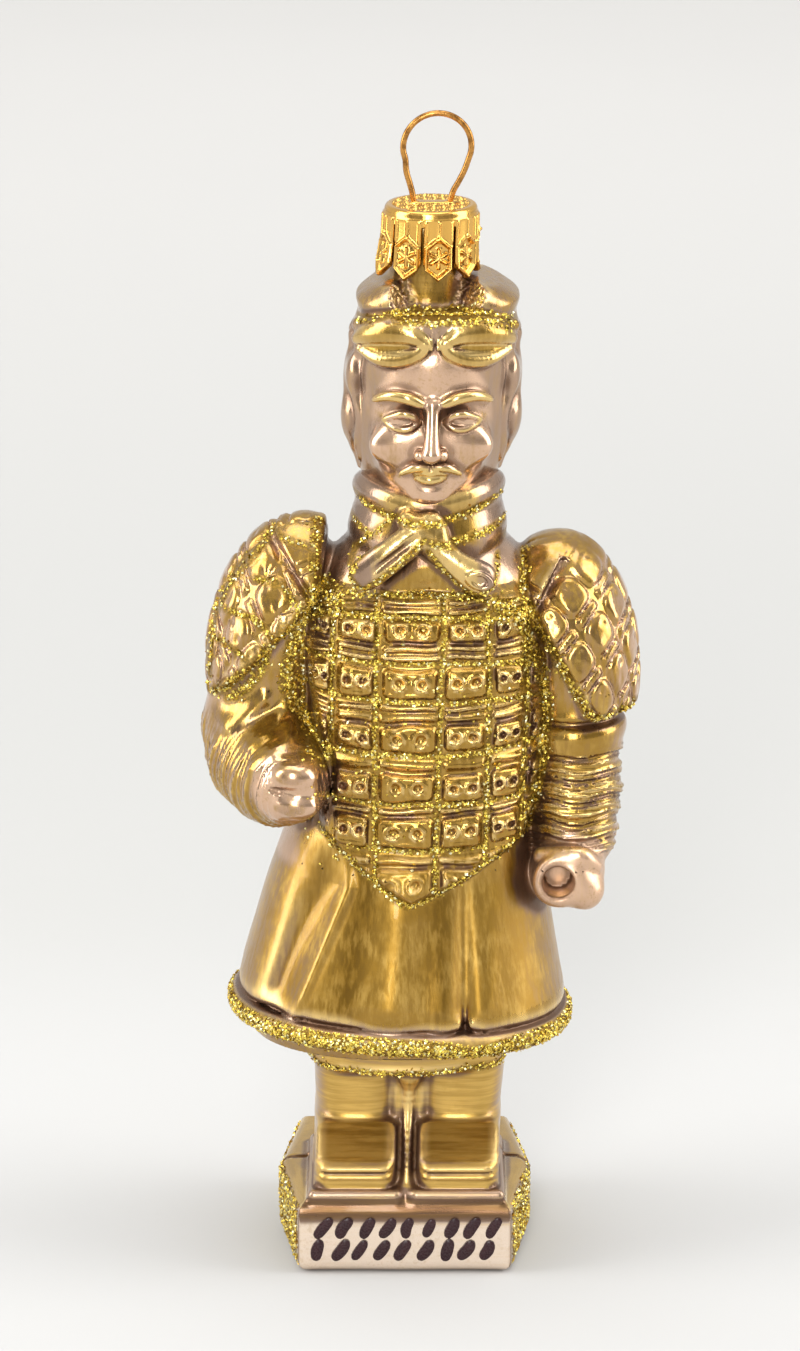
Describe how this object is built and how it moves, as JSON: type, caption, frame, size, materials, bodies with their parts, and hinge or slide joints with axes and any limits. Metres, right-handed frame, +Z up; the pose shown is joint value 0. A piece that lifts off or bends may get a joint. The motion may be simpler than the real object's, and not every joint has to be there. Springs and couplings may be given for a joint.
{
  "type": "hanging ornament",
  "caption": "Hanging ornament of blown glass, shaped as an armoured ancient officer standing on a block, with a metal crown cap and a wire loop.",
  "frame": {"origin": "centre of the block's underside", "axes": "+Z up, -Y the way the figure faces, +X to the figure's left hand"},
  "size_m": [0.0574, 0.036, 0.1554],
  "materials": {
    "lacquered_glass": "silvered inside, gold and copper lacquer outside, glossy",
    "cap_metal": "polished, pressed pattern",
    "wire_metal": "polished"
  },
  "bodies": {
    "root": {"glass_figure": "lacquered_glass", "crown_cap": "cap_metal", "wire_loop": "wire_metal"}
  },
  "joints": []
}
